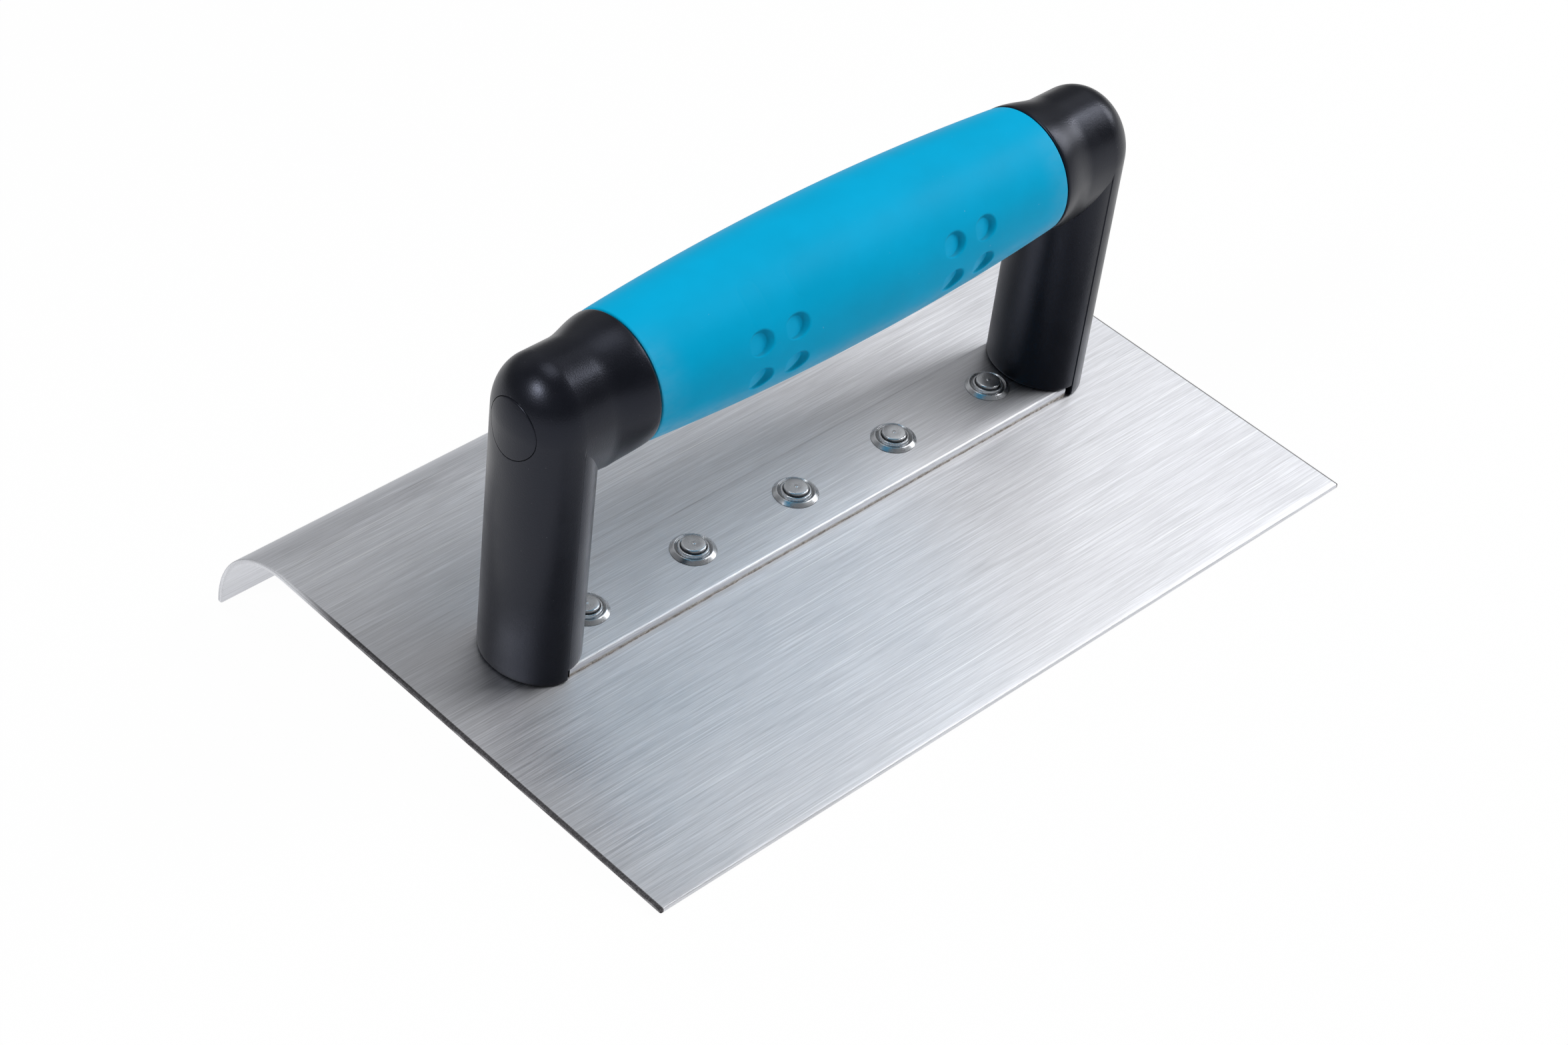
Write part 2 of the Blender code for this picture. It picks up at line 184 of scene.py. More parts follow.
class EdgerSizes(bpy.types.PropertyGroup):
    """Sizes that shape the visible pieces"""

    blade_length: length("Blade length", "Blade from end to end", BLADE_HIGH.x - BLADE_LOW.x)
    blade_thick: length("Blade thickness", "Thickness of the sheet", BLADE_HIGH.z)
    lip_radius: length("Lip radius", "Inside radius of the rolled lip", 0.020)
    edge_round: length("Edge round", "Rounding of the blade's deburred edges", 0.0004)
    strip_round: length("Strip round", "Rounding of the strip's top edges", 0.0006)
    strip_tear: length("Strip tear", "Depth of the torn band on the strip's cut edges", 0.00016)
    tongue_width: length("Tongue width", "Width of the strip's ends inside the legs", 0.011)
    strip_shoulder: length("Shoulder", "Distance from the leg's middle to the strip's shoulder", 0.0010)
    leg_depth: length("Leg depth", "Leg along the blade", 0.0182)
    leg_width: length("Leg width", "Leg across the blade", 0.0226)
    leg_step: length("Leg step", "Set-back of the leg's inner half", 0.00016)
    foot_round: length("Foot round", "Rounding of the leg's foot", 0.0008)
    flare: length("Flare", "Length over which the elbow swells to meet the grip", 0.0095)
    elbow_rise: length("Elbow rise", "Elbow's top above the grip's line", 0.0122)
    elbow_drop: length("Elbow drop", "Fall of the elbow's underside from the grip to the leg", 0.0032)
    arm_length: length("Arm length", "Arm from the grip's end to the leg", 0.0073)
    grip_end: length("Grip end radius", "Radius of the grip at its ends", 0.0133)
    dimple_radius: length("Dimple radius", "Radius of the grip's thumb dimples", 0.0029)
    dimple_depth: length("Dimple depth", "Depth of a dimple at its deep side", 0.00135)


class EdgerFinish(bpy.types.PropertyGroup):
    """Colours and roughness of the finishes"""

    steel: colour("Steel", "Brushed stainless steel", (0.72, 0.73, 0.765))
    steel_rough: share("Steel roughness", "Roughness of the brushed sheet", 0.44)
    rivet: colour("Rivet steel", "Turned rivet heads", (0.66, 0.68, 0.71))
    rivet_rough: share("Rivet roughness", "Roughness of the rivet heads", 0.27)
    plastic: colour("Black plastic", "Legs and end plugs", (0.0034, 0.0040, 0.0066))
    plastic_rough: share("Plastic roughness", "Roughness of the moulded legs", 0.33)
    sleeve: colour("Sleeve", "Blue rubbery sleeve", (0.0, 0.405, 0.70))
    sleeve_rough: share("Sleeve roughness", "Roughness of the sleeve", 0.46)
    floor: colour("Floor", "Floor under the tool", (0.95, 0.95, 0.95))


# Meshes


class Shape:
    """Grids of points that together make one closed mesh."""

    def __init__(self):
        self.points, self.quads, self.runs, self.marks = [], [], [], []
        self.total = 0

    def grid(self, points, run=None, mark=None):
        """Add rows by columns of points. run holds UV pairs and mark one number for each point."""
        rows, cols = points.shape[:2]
        run = np.zeros((rows, cols, 2)) if run is None else run
        mark = 0.0 if mark is None else mark
        a = self.total + np.arange(rows - 1)[:, None] * cols + np.arange(cols - 1)[None, :]
        self.quads.append(np.stack([a, a + 1, a + cols + 1, a + cols], -1).reshape(-1, 4))
        self.points.append(points.reshape(-1, 3))
        self.runs.append(run.reshape(-1, 2))
        self.marks.append(np.broadcast_to(mark, (rows, cols)).ravel())
        self.total += rows * cols

    def build(self, name, finish, sharp=35):
        """Make the object, close its seams and poles and point its faces outwards."""
        points, quads = np.concatenate(self.points), np.concatenate(self.quads)
        runs, marks = np.concatenate(self.runs), np.concatenate(self.marks)
        mesh = bpy.data.meshes.new(name)
        mesh.from_pydata(points.tolist(), [], quads.tolist())
        run = mesh.uv_layers.new(name="run")
        run.data.foreach_set("uv", runs[quads.ravel()].astype(np.float32).ravel())
        mark = mesh.attributes.new("mark", "FLOAT", "POINT")
        mark.data.foreach_set("value", marks.astype(np.float32))
        bm = bmesh.new()
        bm.from_mesh(mesh)
        bmesh.ops.remove_doubles(bm, verts=bm.verts, dist=1e-6)
        bmesh.ops.dissolve_degenerate(bm, edges=bm.edges, dist=1e-7)
        bmesh.ops.recalc_face_normals(bm, faces=bm.faces)
        open_edges = sum(not edge.is_manifold for edge in bm.edges)
        bm.to_mesh(mesh)
        bm.free()
        if open_edges:
            raise RuntimeError(f"{name} has {open_edges} open edges")
        mesh.shade_smooth()
        mesh.set_sharp_from_angle(angle=math.radians(sharp))
        mesh.materials.append(finish)
        made = bpy.data.objects.new(name, mesh)
        bpy.context.scene.collection.objects.link(made)
        return made


def stack(x, y, z):
    """Points from three arrays of one shape."""
    x, y, z = np.broadcast_arrays(x, y, z)
    return np.stack([x, y, z], -1)


def smooth(t):
    """Step from 0 to 1 as 3t^2 - 2t^3, level at both ends."""
    t = np.clip(t, 0.0, 1.0)
    return t * t * (3 - 2 * t)


def show(piece, slot, *nodes):
    """Fix a piece to the body and let it stand for its frame nodes."""
    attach(piece, "root")
    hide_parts(*nodes)
    return piece


def rounded_stops(corners, radii, steps=6):
    """A broken line of (radius, place) corners with each corner rounded by a quadratic curve."""
    line = [corners[0]]
    for before, here, after, r in zip(corners, corners[1:], corners[2:], radii):
        a = here + (before - here) * min(0.5, r / max(np.linalg.norm(before - here), 1e-9))
        b = here + (after - here) * min(0.5, r / max(np.linalg.norm(after - here), 1e-9))
        t = np.linspace(0, 1, steps)[:, None]
        line.extend((1 - t) ** 2 * a + 2 * t * (1 - t) * here + t ** 2 * b)
    line.append(corners[-1])
    return np.array(line)


def fine_stops(low, high, zones, coarse, close):
    """Numbers from low to high, close together inside the zones and far apart outside them."""
    marks = sorted({low, high, *[m for zone in zones for m in zone]})
    runs = []
    for a, b in zip(marks, marks[1:]):
        inside = any(z[0] <= (a + b) / 2 <= z[1] for z in zones)
        runs.append(np.linspace(a, b, max(2, round((b - a) / (close if inside else coarse)) + 1))[:-1])
    return np.concatenate(runs + [[high]])


# Materials


def shade(base, factor):
    """A colour made lighter or darker, held at white."""
    return tuple(min(1.0, c * factor) for c in base)


class Coat:
    """A new material with short ways to add its shader nodes."""

    def __init__(self, name, metallic=0.0):
        self.made = bpy.data.materials.new(name)
        self.made.use_nodes = True
        self.nodes, self.links = self.made.node_tree.nodes, self.made.node_tree.links
        self.shader = self.nodes["Principled BSDF"]
        self.shader.inputs["Metallic"].default_value = metallic

    def noise(self, scale, stretch=(1.0, 1.0, 1.0), detail=4.0, rough=0.55, seed=0.0):
        """Noise on Object coordinates, stretched by a Mapping node."""
        place = self.nodes.new("ShaderNodeTexCoord")
        turn = self.nodes.new("ShaderNodeMapping")
        turn.inputs["Scale"].default_value = stretch
        turn.inputs["Location"].default_value = (seed, 1.7 * seed, 0.3 * seed)
        grain = self.nodes.new("ShaderNodeTexNoise")
        grain.inputs["Scale"].default_value = scale
        grain.inputs["Detail"].default_value = detail
        grain.inputs["Roughness"].default_value = rough
        self.links.new(place.outputs["Object"], turn.inputs["Vector"])
        self.links.new(turn.outputs["Vector"], grain.inputs["Vector"])
        return grain.outputs["Fac"]

    def mark(self):
        """The number that the mesh keeps at each point."""
        mark = self.nodes.new("ShaderNodeAttribute")
        mark.attribute_name = "mark"
        return mark.outputs["Fac"]

    def spread(self, value, low, high, to_low, to_high):
        """Carry a value from one range to another, held inside it."""
        ramp = self.nodes.new("ShaderNodeMapRange")
        self.links.new(value, ramp.inputs["Value"])
        for socket, number in (("From Min", low), ("From Max", high), ("To Min", to_low), ("To Max", to_high)):
            ramp.inputs[socket].default_value = number
        return ramp.outputs["Result"]

    def blend(self, factor, first, second):
        """Mix two colours, each a linked socket or a plain colour."""
        mix = self.nodes.new("ShaderNodeMix")
        mix.data_type = "RGBA"
        self.links.new(factor, mix.inputs["Factor"])
        for socket, value in (("A", first), ("B", second)):
            target = [s for s in mix.inputs if s.name == socket and s.type == "RGBA"][0]
            if isinstance(value, bpy.types.NodeSocket):
                self.links.new(value, target)
            else:
                target.default_value = (*value, 1.0)
        return [s for s in mix.outputs if s.type == "RGBA"][0]

    def arithmetic(self, kind, first, second):
        """One step of arithmetic on two values, each a linked socket or a plain number."""
        node = self.nodes.new("ShaderNodeMath")
        node.operation = kind
        for socket, value in zip(node.inputs, (first, second)):
            if isinstance(value, bpy.types.NodeSocket):
                self.links.new(value, socket)
            else:
                socket.default_value = value
        return node.outputs["Value"]

    def bump(self, height, distance, strength, under=None):
        """Relief of a height, laid over another relief where one is given."""
        node = self.nodes.new("ShaderNodeBump")
        node.inputs["Distance"].default_value = distance
        node.inputs["Strength"].default_value = strength
        self.links.new(height, node.inputs["Height"])
        if under is not None:
            self.links.new(under, node.inputs["Normal"])
        return node.outputs["Normal"]

    def complete(self, tone, rough, normal):
        """Link the tone, the roughness and the relief, and give the material."""
        self.links.new(tone, self.shader.inputs["Base Color"])
        self.links.new(rough, self.shader.inputs["Roughness"])
        self.links.new(normal, self.shader.inputs["Normal"])
        return self.made


def brushed_steel(name, base, rough, cut):
    """Stainless sheet brushed along X: stretched noise moves the tone, the roughness and the bump.

    cut holds the two tones that the mesh's mark lays on: the strip's torn sheared edges, and painted shade on
    the blade's edges.
    """
    coat = Coat(name, metallic=1.0)
    fine = coat.noise(1.0, FINE_BRUSH, detail=6.0, rough=0.68)
    broad = coat.noise(1.0, BROAD_BRUSH, detail=3.0, seed=3.1)
    scratch = coat.noise(1.0, SCRATCHES, detail=1.0, seed=7.7)
    cloud = coat.noise(22.0, detail=2.0, seed=5.3)
    tear = coat.noise(2600.0, (0.5, 1.0, 1.0), detail=5.0, rough=0.7, seed=2.2)
    mark = coat.mark()
    tone = coat.blend(coat.spread(fine, 0.30, 0.70, 0.0, 1.0), shade(base, 0.74), shade(base, 1.19))
    tone = coat.blend(coat.spread(broad, 0.40, 0.68, 0.0, 0.26), tone, shade(base, 0.80))
    tone = coat.blend(coat.spread(scratch, 0.66, 0.74, 0.0, 0.75), tone, shade(base, 1.37))
    # Where mark is 1 the tone turns to cut: torn steel on the strip, painted shade on the blade's edges
    tone = coat.blend(mark, tone, coat.blend(coat.spread(tear, 0.4, 0.65, 0.0, 1.0), *cut))
    grain = coat.spread(fine, 0.25, 0.75, rough - 0.07, rough + 0.09)
    grain = coat.arithmetic("ADD", grain, coat.spread(cloud, 0.35, 0.65, -0.02, 0.03))
    grain = coat.arithmetic("ADD", grain, coat.spread(mark, 0.0, 1.0, 0.0, 0.22))
    normal = coat.bump(broad, 5.0e-6, 0.5, under=coat.bump(fine, 1.1e-5, 0.9))
    coat.shader.inputs["Anisotropic"].default_value = 0.8
    way = coat.nodes.new("ShaderNodeTangent")
    way.direction_type = "UV_MAP"
    way.uv_map = "run"
    coat.links.new(way.outputs["Tangent"], coat.shader.inputs["Tangent"])
    return coat.complete(tone, grain, normal)


def turned_steel(name, base, rough):
    """Rivet steel: turning rings follow the radius in the mesh's mark, and u of its UV map holds painted
    groove shade.
    """
    coat = Coat(name, metallic=1.0)
    rings = coat.nodes.new("ShaderNodeTexNoise")
    rings.noise_dimensions = "1D"
    rings.inputs["Scale"].default_value = 7000.0
    rings.inputs["Detail"].default_value = 3.0
    coat.links.new(coat.mark(), rings.inputs["W"])
    place = coat.nodes.new("ShaderNodeUVMap")
    place.uv_map = "run"
    parts = coat.nodes.new("ShaderNodeSeparateXYZ")
    coat.links.new(place.outputs["UV"], parts.inputs["Vector"])
    cloud = coat.noise(500.0, detail=2.0)
    tone = coat.blend(coat.spread(cloud, 0.35, 0.7, 0.0, 1.0), shade(base, 0.96), shade(base, 1.04))
    # Painted shade: the grooves darken towards 0.16 of the steel
    tone = coat.blend(parts.outputs["X"], tone, shade(base, 0.16))
    grain = coat.spread(cloud, 0.3, 0.7, rough - 0.02, rough + 0.03)
    return coat.complete(tone, grain, coat.bump(rings.outputs["Fac"], 1.2e-6, 0.5))


def moulded_plastic(name, base, rough):
    """Spark-textured black plastic: fine grain in the bump, soft patches in the roughness."""
    coat = Coat(name)
    grain = coat.noise(2900.0, detail=2.0)
    patch = coat.noise(140.0, detail=4.0, seed=1.3)
    dust = coat.noise(2300.0, detail=1.0, seed=8.8)
    tone = coat.blend(coat.spread(patch, 0.3, 0.7, 0.0, 1.0), shade(base, 0.85), shade(base, 1.2))
    tone = coat.blend(coat.spread(dust, 0.77, 0.83, 0.0, 0.5), tone, (0.10, 0.10, 0.11))
    coat.shader.inputs["Specular IOR Level"].default_value = 0.36
    coat.shader.inputs["Specular Tint"].default_value = (0.74, 0.79, 1.0, 1.0)
    rough = coat.spread(patch, 0.3, 0.7, rough - 0.04, rough + 0.05)
    return coat.complete(tone, rough, coat.bump(grain, 3.0e-5, 0.7))


def soft_rubber(name, base, rough):
    """Satin blue rubber: fine skin, faint clouds of tone and a few pale specks.

    The mesh's mark runs up from 0 where the skin takes a painted sheen and down to -1 on the walls of the
    dimples, which take painted shade.
    """
    coat = Coat(name)
    skin = coat.noise(3000.0, detail=3.0)
    cloud = coat.noise(60.0, detail=3.0, seed=2.4)
    speck = coat.noise(1500.0, detail=1.0, seed=6.1)
    sheen_streaks = coat.noise(420.0, (0.5, 1.0, 1.0), detail=5.0, rough=0.65, seed=9.4)
    mark = coat.mark()
    tone = coat.blend(coat.spread(cloud, 0.3, 0.7, 0.0, 1.0), shade(base, 0.95), shade(base, 1.05))
    # Painted shade: the dimples' walls, where mark falls below 0, darken towards 0.62 of the blue
    tone = coat.blend(coat.spread(mark, -1.0, 0.0, 0.8, 0.0), tone, shade(base, 0.62))
    # Painted sheen: a pale veil where mark rises above 0, broken into streaks by noise
    sheen_share = coat.spread(mark, 0.0, 1.0, 0.0, 1.0)
    painted_sheen = coat.arithmetic("MULTIPLY", sheen_share, coat.spread(sheen_streaks, 0.3, 0.62, 0.35, 1.0))
    tone = coat.blend(painted_sheen, tone, (0.42, 0.64, 0.76))
    tone = coat.blend(coat.spread(speck, 0.80, 0.84, 0.0, 0.35), tone, (0.35, 0.62, 0.78))
    coat.shader.inputs["Specular IOR Level"].default_value = 0.045
    rough = coat.spread(cloud, 0.3, 0.7, rough - 0.03, rough + 0.04)
    return coat.complete(tone, rough, coat.bump(skin, 1.0e-5, 0.5))


def plain_grain(name, base, rough, metallic):
    """Finish for pieces that stay inside: one noise moves the tone and the roughness."""
    coat = Coat(name, metallic)
    grain = coat.noise(900.0, detail=4.0)
    tone = coat.blend(grain, shade(base, 0.8), shade(base, 1.15))
    rough = coat.spread(grain, 0.3, 0.7, rough - 0.05, rough + 0.06)
    return coat.complete(tone, rough, coat.bump(grain, 1.0e-5, 0.5))


# Shapes


def flat_width(sizes):
    """Width of the sheet's flat part, from the front edge to the start of the lip."""
    return BLADE_HIGH.y - BLADE_LOW.y - sizes.lip_radius - sizes.blade_thick


def sheet_point(s, lift, sizes):
    """Point of the sheet at arc length s from the front edge, lift away from its middle layer.

    The middle layer runs flat for the flat width, turns a quarter circle down and ends straight.
    """
    half, flat = sizes.blade_thick / 2, flat_width(sizes)
    middle = sizes.lip_radius + half
    bend = BLADE_LOW.y + flat
    turn = np.clip((s - flat) / middle, 0.0, np.pi / 2)
    drop = np.maximum(0.0, s - flat - middle * np.pi / 2)
    out_y, out_z = np.sin(turn), np.cos(turn)
    y = np.where(s < flat, BLADE_LOW.y + s, bend + middle * out_y) + lift * out_y
    z = np.where(s < flat, half, middle * out_z - sizes.lip_radius - drop) + lift * out_z
    return y, z


def blade_shape(sizes):
    """Sheet section carried along X. At both ends the section draws in along a quarter circle.

    mark is 1, as painted shade, on the rolled edge of the left end and on the rounding of the right one, and
    fades at the lip.
    """
    half, r, flat = sizes.blade_thick / 2, sizes.edge_round, flat_width(sizes)
    whole = flat + (sizes.lip_radius + half) * np.pi / 2 + (-sizes.lip_radius - BLADE_LOW.z)
    end = sizes.blade_length / 2
    arc = np.radians(np.linspace(0, 90, 6))
    end_x, end_draw = end - r + r * np.cos(arc), r - r * np.sin(arc)
    body = np.linspace(-(end - r), end - r, 121)[1:-1]
    body = np.concatenate([[ROLLED_EDGE - end, 1.3 * ROLLED_EDGE - end], body, [end - 1.5 * r]])
    x = np.concatenate([-end_x, body, end_x[::-1]])
    draw = np.concatenate([end_draw, np.zeros(len(body)), end_draw[::-1]])[:, None]
    inner = np.concatenate([np.linspace(r, flat, 56)[1:], np.linspace(flat, whole - r, 42)[1:-1]])
    near = draw + (r - draw) * (1 - np.cos(arc))[None, :]
    rise = half - r + (r - draw) * np.sin(arc)[None, :]
    level = (half - draw) + 0 * inner[None, :]
    s = np.concatenate([near, inner[None, :] + 0 * draw, (whole - near)[:, ::-1]], 1)
    up = np.concatenate([rise, level, rise[:, ::-1]], 1)
    s = np.concatenate([s, s[:, ::-1], s[:, :1]], 1)
    up = np.concatenate([up, -up[:, ::-1], up[:, :1]], 1)
    y, z = sheet_point(s, up, sizes)
    run = np.stack([s, x[:, None] + 0 * s], -1)
    # Painted shade: mark darkens both ends' edges in the material
    rolled = (x < 1.1 * ROLLED_EDGE - end) | (x > end - 1.2 * r)
    mark = rolled[:, None] * smooth((flat - s) / sizes.lip_radius)
    shape = Shape()
    shape.grid(stack(x[:, None], y, z), run, mark)
    count = (s.shape[1] - 1) // 2
    for row in (0, -1):
        top = stack(x[row], y[row, :count], z[row, :count])
        low = stack(x[row], y[row, count:2 * count], z[row, count:2 * count])[::-1]
        cap_run = np.stack([run[row, :count], run[row, :count] + 0.001])
        shape.grid(np.stack([top, low]), cap_run, CUT_FACE_SHARE * mark[row, :count])
    return shape


def ragged(rng, rows, cols, reach):
    """Random heights from 0 to about 1, smoothed along the rows."""
    rough = rng.normal(size=(rows, cols))
    rough = sum(np.roll(rough, k, 0) for k in range(-reach, reach + 1)) / math.sqrt(2 * reach + 1)
    return np.clip(0.5 + 0.3 * rough, 0.0, 1.2)


def strip_shape(sizes, leg_x):
    """Bar section carried along X: rounded top edges, and sheared edges torn over their lower part.

    The half-width falls from the strip's to the tongue's at each shoulder. mark is 1 on the tear.
    """
    low, high, r = BLADE_HIGH.z, STRIP_HIGH.z, sizes.strip_round
    wide, narrow = (STRIP_HIGH.y - STRIP_LOW.y) / 2, sizes.tongue_width / 2
    shoulder, tip = leg_x - sizes.strip_shoulder, STRIP_HIGH.x
    x = np.concatenate([[-tip, -shoulder], np.linspace(-shoulder, shoulder, STRIP_ROWS), [shoulder, tip]])
    w = np.concatenate([[narrow, narrow], np.full(STRIP_ROWS, wide), [narrow, narrow]])[:, None]
    arc = np.radians(np.linspace(0, 90, 7))
    cut = np.linspace(high - r, low, 10)[1:]
    side_out = np.concatenate([r * np.sin(arc), np.full(len(cut), r)])
    side_z = np.concatenate([high - r + r * np.cos(arc), cut])
    torn = np.clip((high - r - side_z) / (TEAR_HEIGHT * (high - low)) - TEAR_START, 0.0, 1.0)
    rng = np.random.default_rng(TEAR_SEED)
    sides = []
    for sign in (1.0, -1.0):
        bite = ragged(rng, len(x), len(side_z), TEAR_REACH) * torn * sizes.strip_tear
        sides.append(sign * ((w - r) + side_out - bite))
    across = np.linspace(-1, 1, 9)[1:-1]
    over, level = (w - r) * across[None, :], np.ones(len(across))
    y = np.concatenate([over, sides[0], -UNDERSIDE_SHARE * over, sides[1][:, ::-1], over[:, :1]], 1)
    z = np.concatenate([high * level, side_z, low * level, side_z[::-1], [high]])
    mark = np.concatenate([0 * level, torn, 0 * level, torn[::-1], [0.0]])
    shape = Shape()
    run = np.stack([y + 0 * z, x[:, None] + 0 * y], -1)
    shape.grid(stack(x[:, None], HANDLE_Y + y, z[None, :]), run, mark[None, :])
    for row in (0, -1):
        ring = stack(x[row], HANDLE_Y + y[row], z)
        heart = np.zeros_like(ring) + np.array([x[row], HANDLE_Y, (low + high) / 2])
        shape.grid(np.stack([ring, heart]), mark=TONGUE_END_MARK)
    return shape


def rivet_shape(x):
    """Rivet spun about Z: countersunk foot, shank, cone flange, a sharp rim, a tier and a button with a pip.

    mark is the radius, moved on from rivet to rivet, and u of the UV map is the painted shade in the grooves.
    """
    foot = np.array(RIVET_FOOT) * MM
    head = np.array(RIVET_HEAD) * MM + np.array([0.0, STRIP_HIGH.z])
    line = rounded_stops(np.concatenate([foot, head]), np.array(RIVET_ROUNDS) * MM)
    radius, height = line[:, :1], line[:, 1:]
    # Painted shade in the grooves and at the rim's foot, carried in u of the UV map
    groove_shade = np.zeros_like(radius)
    for middle, reach, dark in RIVET_GROOVE_SHADE:
        away = np.abs(radius - middle * MM) / (reach * MM)
        groove_shade = np.maximum(groove_shade, dark * smooth(1.6 - 1.6 * away))
    angle = np.linspace(0, 2 * np.pi, RIVET_STEPS + 1)[None, :]
    points = stack(x + radius * np.cos(angle), HANDLE_Y + radius * np.sin(angle), height)
    shape = Shape()
    shape.grid(points, np.stack([groove_shade + 0 * angle, 0 * groove_shade + 0 * angle], -1), radius + 10 * x)
    return shape


class LegFigures:
    """Figures that the legs and the plugs share, for the right-hand side with the handle's line at y = 0."""

    def __init__(self, sizes):
        self.deep, self.wide = sizes.leg_depth / 2, sizes.leg_width / 2
        self.x = LEG_HIGH.x - self.deep
        self.start = LEG_LOW.x
        self.half = (sizes.grip_end + sizes.elbow_rise) / 2
        self.middle = GRIP_HEIGHT + sizes.elbow_rise - self.half
        self.plug = (PLUG_HIGH.y - PLUG_LOW.y) / 2

    def face(self, y, z):
        """x of the outer skin over (y, z): half an oval below the elbow's middle, an ellipsoid above it."""
        dome = np.where(z > self.middle, ((z - self.middle) / self.half) ** 2, 0.0)
        return self.x + self.deep * np.sqrt(np.maximum(0.0, 1 - (y / self.wide) ** 2 - dome))


def add_side(shape, grids, side):
    """Add grids made for the right-hand side, moved to the handle's line and mirrored for the left."""
    for grid in grids:
        shape.grid(grid * np.array([side, 1.0, 1.0]) + np.array([0.0, HANDLE_Y, 0.0]))


def sink_recess(skin, fig):
    """Sink a round recess for the plug into the outer skin. Points near its edge move onto the edge."""
    edge = fig.plug + PLUG_GAP
    away = np.hypot(skin[..., 1], skin[..., 2] - GRIP_HEIGHT)
    out = skin[..., 0] > fig.x + 0.4 * fig.deep
    near = out & (np.abs(away - edge) < RECESS_SNAP)
    pull = np.where(near, edge / np.maximum(away, 1e-6), 1.0)
    skin[..., 1] *= pull
    skin[..., 2] = GRIP_HEIGHT + (skin[..., 2] - GRIP_HEIGHT) * pull
    skin[..., 0] = np.where(near, fig.face(skin[..., 1], skin[..., 2]), skin[..., 0])
    skin[..., 0] -= np.where(out & ~near & (away < edge), RECESS_DEPTH, 0.0)


def leg_skin(shape, sizes, fig, side):
    """Elbow and outer half as one bent pipe, with a round recess for the plug.

    The upper half of each ring runs out along the arm, over the ellipsoid corner and down the outer half of
    the leg. The lower half runs along the arm and then straight down the plane of the leg's middle.
    """
    r, fr, foot = MOUTH_ROUND, sizes.foot_round, BLADE_HIGH.z + OUTER_FOOT_GAP
    up = np.linspace(0, np.pi, 161)[None, :]
    low = np.linspace(np.pi, 2 * np.pi, 161)[None, :]
    arc = np.radians(np.linspace(0, 90, 5))
    x = np.concatenate([fig.start + r - r * np.cos(arc), np.linspace(fig.start + r, fig.x, 44)[1:]])
    inset = np.concatenate([r - r * np.sin(arc), np.zeros(43)])
    ease = smooth((x - fig.start) / sizes.flare)
    tall = (sizes.grip_end + (fig.half - sizes.grip_end) * ease - inset)[:, None]
    wide = (sizes.grip_end + (fig.wide - sizes.grip_end) * ease - inset)[:, None]
    level = (GRIP_HEIGHT + (fig.middle - GRIP_HEIGHT) * ease)[:, None]
    toe = np.radians(np.linspace(0, 90, 7))
    close = GRIP_HEIGHT - fig.plug - RECESS_MARGIN
    z = np.concatenate([
        np.linspace(fig.middle, close, 40)[1:],
        np.linspace(close, foot + fr, 44)[1:],
        (foot + fr - fr * np.sin(toe))[1:],
    ])
    tuck = np.concatenate([np.zeros(39 + 43), (fr * np.cos(toe) - fr)[1:]])[:, None]
    arm = stack(x[:, None], wide * np.cos(up), level + tall * np.sin(up))
    psi = np.radians(np.linspace(0, 90, 88)[1:])[:, None]
    dome = stack(fig.x + fig.deep * np.sin(psi) * np.sin(up), fig.wide * np.cos(up),
                 fig.middle + fig.half * np.cos(psi) * np.sin(up))
    soft = SEAM_ROUND * smooth((fig.middle - z) / SEAM_FADE)[:, None]
    out = (fig.deep + tuck) * np.sin(up)
    edge = np.clip(1 - out / np.maximum(soft, 1e-9), 0.0, 1.0)
    rim = soft * (1 - np.sqrt(1 - edge ** 2))
    down = stack(fig.x + out, (fig.wide + tuck) * np.cos(up) - rim * np.sign(np.cos(up)), z[:, None])
    upper = np.concatenate([arm, dome, down])
    sink_recess(upper[len(x):], fig)
    drop = sizes.elbow_drop * np.clip((x - fig.start) / sizes.arm_length, 0.0, 1.0)[:, None]
    under = stack(x[:, None], wide * np.cos(low), level + (tall + drop) * np.sin(low))
    hang = fig.middle + (fig.half + sizes.elbow_drop) * np.sin(low)
    fall = ((fig.middle - z) / (fig.middle - foot))[:, None]
    plane = stack(fig.x + 0 * low, (fig.wide + tuck - soft) * np.cos(low), hang + (foot - hang) * fall)
    lower = np.concatenate([under, plane])
    caps = [np.stack([upper[k], lower[k, ::-1]]) for k in (0, -1)]
    add_side(shape, [upper, lower] + caps, side)


def leg_inner(shape, sizes, fig, side):
    """Inner half of the leg: half an oval set back by the step, standing on the strip."""
    deep, wide = fig.deep - sizes.leg_step, fig.wide - sizes.leg_step
    foot, fr = STRIP_HIGH.z + INNER_FOOT_GAP, sizes.foot_round
    toe = np.radians(np.linspace(0, 90, 6))
    shaft = np.linspace(foot + fr, fig.middle - INNER_TOP_DROP, 40)[1:]
    z = np.concatenate([foot + fr - fr * np.sin(toe[::-1]), shaft])
    tuck = np.concatenate([(fr * np.cos(toe) - fr)[::-1], np.zeros(len(shaft))])[:, None]
    angle = np.radians(np.linspace(-90, 90, 97))[None, :]
    front = stack(fig.x - (deep + tuck) * np.cos(angle), (wide + tuck) * np.sin(angle), z[:, None])
    back = stack(fig.x + INNER_BACK, INNER_BACK_SHARE * (wide + tuck) * np.sin(angle), z[:, None])
    sides = [np.stack([front[:, k], back[:, k]], 1) for k in (0, -1)]
    caps = [np.stack([front[k], back[k]]) for k in (0, -1)]
    add_side(shape, [front, back] + sides + caps, side)


